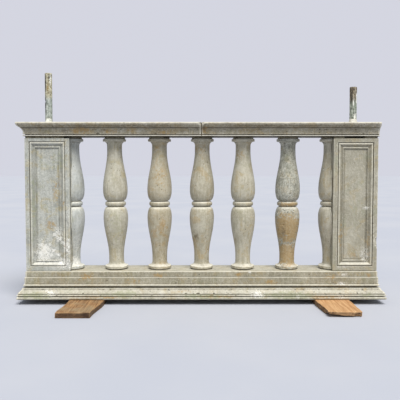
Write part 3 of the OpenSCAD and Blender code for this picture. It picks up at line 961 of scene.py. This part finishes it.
def pier_bed(node, seed, lost_from=None, lost_to=None, lost_depth=0.0):
    """The bed of a pier: a thin plate with a ragged edge. It may have lost a stretch."""
    low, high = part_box(node)
    flat = rectangle_ring(low.x, high.x, low.y, high.y, 70, 50)
    solid = closed_sleeve([at_height(flat, z) for z in np.linspace(low.z, high.z, 3)])
    middle = np.array([(low.x + high.x) / 2, 0.0])
    ragged = 0.0015 + 0.0015 * rough(solid.points, 0.02, seed, 2)
    toward = middle - solid.points[:, :2]
    toward /= np.linalg.norm(toward, axis=1)[:, None]
    solid.points[:, :2] += toward * ragged[:, None]
    if lost_from is not None:
        x = solid.points[:, 0] + 0.004 * noise(solid.points, 0.01, seed + 2)
        gone = step_between(x, lost_from, lost_from + 0.006)
        gone *= 1 - step_between(x, lost_to - 0.006, lost_to)
        gone *= solid.points[:, 1] < low.y + 0.01
        solid.points[:, 1] += gone * lost_depth
    return solid


def mortar_heap(node, seed):
    """Mortar run round the foot of a bar."""
    low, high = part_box(node)
    x = (low.x + high.x) / 2
    foot_r, rise = (high.x - low.x) / 2, high.z - low.z
    top_r = 0.019
    outline = [(foot_r + (top_r - foot_r) * t**0.6, low.z + rise * t) for t in shares(8)]
    solid = closed_sleeve(turned(x, outline, 56))
    away = solid.points[:, :2] - (x, 0)
    radius = np.linalg.norm(away, axis=1)
    bite = 0.5 + 0.5 * rough(solid.points, 0.014, seed)
    new_r = radius - np.clip(bite, 0, 1) * 0.7 * np.maximum(radius - top_r + 0.001, 0)
    solid.points[:, :2] = (x, 0) + away * (new_r / radius)[:, None]
    return solid


BED_R = 0.0545
# For a baluster, the arcs of its bed that have fallen out, in degrees
LOST_CAPS = {2: [(-60, -20)], 4: [(-150, -125)]}
LOST_FEET = {1: [(-170, -112), (-78, -15)], 2: [(-160, -130)], 4: [(-165, -20)], 5: [(-50, -20)]}


def make_mortar():
    pale = lime_mortar("Pale_mortar", (222, 216, 202), (170, 160, 138), 61.0)
    dull = lime_mortar("Dull_mortar", (158, 150, 128), (112, 104, 82), 66.0)
    white = lime_mortar("White_mortar", (240, 238, 230), (206, 202, 190), 76.0)
    dark = lime_mortar("Dark_mortar", (60, 54, 40), (30, 26, 18), 71.0)
    for node, material in (("course_bed", dark), ("coping_joint", dull)):
        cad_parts[node].data.materials.clear()
        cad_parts[node].data.materials.append(material)
    caps = bed_discs("baluster_cap_beds", BED_R, LOST_CAPS)
    feet = bed_discs("baluster_foot_beds", BED_R, LOST_FEET)
    left_top = pier_bed("left_pier_bed", 801, -0.712, -0.66, 0.03)
    right_top = pier_bed("right_pier_bed", 811, 0.7365, 0.8425, 0.045)
    left_heap = mortar_heap("left_bar_mortar", 841)
    right_heap = mortar_heap("right_bar_mortar", 851)
    for name, solid, material, node in (
        ("Baluster_cap_mortar", caps, dull, "baluster_cap_beds"),
        ("Baluster_foot_mortar", feet, pale, "baluster_foot_beds"),
        ("Left_pier_top_mortar", left_top, dull, "left_pier_bed"),
        ("Right_pier_top_mortar", right_top, dull, "right_pier_bed"),
        ("Left_pier_foot_mortar", pier_bed("left_foot_bed", 821), pale, "left_foot_bed"),
        ("Right_pier_foot_mortar", pier_bed("right_foot_bed", 831), dull, "right_foot_bed"),
        ("Left_bar_foot_mortar", left_heap, white, "left_bar_mortar"),
        ("Right_bar_foot_mortar", right_heap, white, "right_bar_mortar"),
    ):
        piece(name, solid, material, node)


# ------ iron and wood


def make_bar(name, node, material, seed, pitted, stains):
    """A pitted bar. Its stains lie so far across from its middle."""
    low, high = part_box(node)
    x, r = (low.x + high.x) / 2, (high.x - low.x) / 2
    outline = [(r, z) for z in np.linspace(low.z, high.z - 0.004, 110)]
    outline += [(r * 0.96, high.z - 0.001), (r * 0.86, high.z)]
    solid = closed_sleeve(turned(x, outline, 56))
    away = solid.points[:, :2] - (x, 0)
    holes = step_between(rough(solid.points, 0.009, seed), 0.1, 1.1)
    waves = 0.5 + 0.5 * noise(solid.points, 0.03, seed + 4)
    solid.points[:, :2] -= away * (pitted * holes + 0.03 * waves)[:, None]
    placed = {
        stain: [(x + across, *rest) for across, *rest in spots]
        for stain, spots in stains.items()
    }
    piece(name, solid, material, node, placed)


LEFT_BAR_STAINS = {
    "soot_and_shade": [(-0.013, 1.15, 0.006, 0.07, 1.0), (-0.013, 1.04, 0.005, 0.07, 1.0),
             (0.008, 1.18, 0.006, 0.03, 0.9), (0.004, 1.105, 0.008, 0.012, 0.7)],
    "ochre": [(0.0, 1.13, 0.01, 0.03, 0.9)],
    "lime": [(0.013, 1.17, 0.005, 0.05, 0.8), (0.0, 0.955, 0.02, 0.02, 0.9)],
}
RIGHT_BAR_STAINS = {
    "soot_and_shade": [(-0.012, 1.08, 0.006, 0.05, 0.9), (0.004, 1.06, 0.01, 0.04, 0.6)],
    "lime": [(0.013, 1.07, 0.004, 0.05, 1.0), (-0.004, 1.05, 0.004, 0.03, 0.9),
             (0.005, 0.975, 0.012, 0.03, 0.8)],
}


def make_bars():
    rusty = old_iron("Rusty_iron", (132, 138, 130), (198, 194, 168), (140, 130, 104),
                     (176, 184, 176), 81.0, 1.08, 1.12)
    grey = old_iron("Grey_iron", (84, 90, 82), (132, 118, 96), (62, 52, 44),
                    (158, 166, 150), 86.0, 1.07, 1.1)
    make_bar("Left_iron_bar", "left_bar", rusty, 901, 0.2, LEFT_BAR_STAINS)
    make_bar("Right_iron_bar", "right_bar", grey, 911, 0.12, RIGHT_BAR_STAINS)


def plank(node):
    """A board as rings across it, from its back end to its front end."""
    low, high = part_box(node)
    wide, thick = 40, 8
    flat = rectangle_ring(low.x, high.x, low.z, high.z, wide, thick)
    levels = [
        np.column_stack([flat[:, 0], np.full(len(flat), y), flat[:, 1]])
        for y in np.linspace(high.y, low.y, 150)
    ]
    return closed_sleeve(levels, wide, thick, "grid", "grid")


def age_board(solid, seed):
    """Rounds a board's edges and lets its grain stand out."""
    stretched = solid.points * (1, 0.06, 1)
    wear_arrises(solid, seed, 0.7, 4)
    lines = 0.5 + 0.5 * rough(stretched, 0.006, seed, 2) / 1.5
    solid.points -= solid.normals() * (GROOVE_DEPTH * lines)[:, None]


def make_left_board():
    low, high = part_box("left_board")
    solid = plank("left_board")
    share = (solid.points[:, 0] - low.x) / (high.x - low.x)
    front = step_between(-solid.points[:, 1], 0.12, 0.37)
    solid.points[:, 0] -= 0.026 * share * front
    solid.points[:, 0] -= 0.013 * (1 - share) * step_between(-solid.points[:, 1], 0.2, 0.37)
    age_board(solid, 951)
    old = wood("Old_softwood", (180, 142, 100), (120, 88, 60), (156, 140, 112), 0.6, 91.0)
    side = solid.normals()
    # The front is darkened, and the right side as painted shade in the gap under the plinth.
    dark_marks_and_shade = 0.8 * step_between(-side[:, 1], 0.6, 0.9) + 0.6 * step_between(side[:, 0], 0.6, 0.9)
    stains = {"soot_and_shade": [(-0.55, 0.012, 0.03, 0.05, 0.85)]}
    piece("Left_bearer_board", solid, old, "left_board", stains, dark_marks_and_shade=dark_marks_and_shade,
          y_limit=low.y + 0.006)


def make_right_board():
    low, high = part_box("right_board")
    solid = plank("right_board")
    share = (solid.points[:, 0] - low.x) / (high.x - low.x)
    front = step_between(-solid.points[:, 1], 0.12, 0.35)
    solid.points[:, 0] += 0.018 * (1 - share) * front
    thinner = 0.62 * (1 - share) * step_between(-solid.points[:, 1], 0.27, 0.345)
    solid.points[:, 2] = high.z - (high.z - solid.points[:, 2]) * (1 - thinner)
    bark = (share < 0.02) * (0.5 + 0.5 * rough(solid.points, 0.012, 963))
    solid.points[:, 0] += 0.006 * np.clip(bark, 0, 1)
    chip_at(solid, (0.742, low.y, 0.004), 0.018, 0.010, 965)
    age_board(solid, 961)
    fresh = wood("Fresh_softwood", (218, 180, 134), (176, 130, 88), (204, 158, 112),
                 0.4, 95.0)
    side = solid.normals()
    dark_marks_and_shade = 0.5 * step_between(-side[:, 1], 0.6, 0.9) + 0.75 * step_between(-side[:, 0], 0.6, 0.9)
    stains = {"soot_and_shade": [(0.742, 0.008, 0.024, 0.016, 1.0), (0.62, 0.022, 0.04, 0.01, 0.8)]}
    piece("Right_bearer_board", solid, fresh, "right_board", stains,
          dark_marks_and_shade=dark_marks_and_shade, y_limit=low.y + 0.006)


# ------ studio


def make_floor():
    size = 30.0
    mesh = bpy.data.meshes.new("Floor")
    corners = [(-size, -size, 0), (size, -size, 0), (size, size, 0), (-size, size, 0)]
    mesh.from_pydata(corners, [], [(0, 1, 2, 3)])
    s = Shader("Pale_floor")
    cloud = s.ranged(s.noise(0.8, 4, 0.5), 0.3, 0.7)
    colour = s.mix(cloud, (176, 179, 189), (181, 183, 191))
    mesh.materials.append(s.done(colour, 1.0, s.bump(s.noise(0.02, 4), 0.0002), 0.0))
    add("Floor", mesh)


def make_key():
    """A broad soft light from above and in front, a little to the right."""
    lamp = bpy.data.lights.new("Key_light", "SUN")
    lamp.energy = 3.9
    lamp.angle = math.radians(34)
    lamp.color = (1.0, 0.98, 0.94)
    toward = Vector((-0.14, 0.5, -0.86))
    add("Key_light", lamp).rotation_euler = toward.to_track_quat("-Z", "Y").to_euler()


def make_world():
    """Soft light from all round. The camera sees the tone of the floor, with no horizon."""
    world = bpy.data.worlds.new("Studio")
    world.use_nodes = True
    tree = world.node_tree
    light = tree.nodes["Background"]
    light.inputs["Color"].default_value = SKY_LIGHT
    light.inputs["Strength"].default_value = 0.50
    seen = tree.nodes.new("ShaderNodeBackground")
    seen.inputs["Color"].default_value = SEEN_WORLD
    path = tree.nodes.new("ShaderNodeLightPath")
    join = tree.nodes.new("ShaderNodeMixShader")
    tree.links.new(path.outputs["Is Camera Ray"], join.inputs[0])
    tree.links.new(light.outputs[0], join.inputs[1])
    tree.links.new(seen.outputs[0], join.inputs[2])
    tree.links.new(join.outputs[0], tree.nodes["World Output"].inputs["Surface"])
    bpy.context.scene.world = world
    bpy.context.scene.view_settings.view_transform = "Standard"


def make_camera():
    data = bpy.data.cameras.new("Camera")
    data.sensor_width = 36.0
    data.lens = 49.95
    data.shift_y = -0.0222
    camera = add("Camera", data)
    camera.location = (-0.0196, -2.9542, 0.727)
    camera.rotation_euler = (math.radians(90 - 2.8), math.radians(-0.01), math.radians(-0.22))
    bpy.context.scene.camera = camera


for make in (
    make_plinth, make_base, make_piers, make_balusters, make_half_balusters, make_copings,
    make_mortar, make_bars, make_left_board, make_right_board,
    make_floor, make_key, make_world, make_camera,
):
    make()
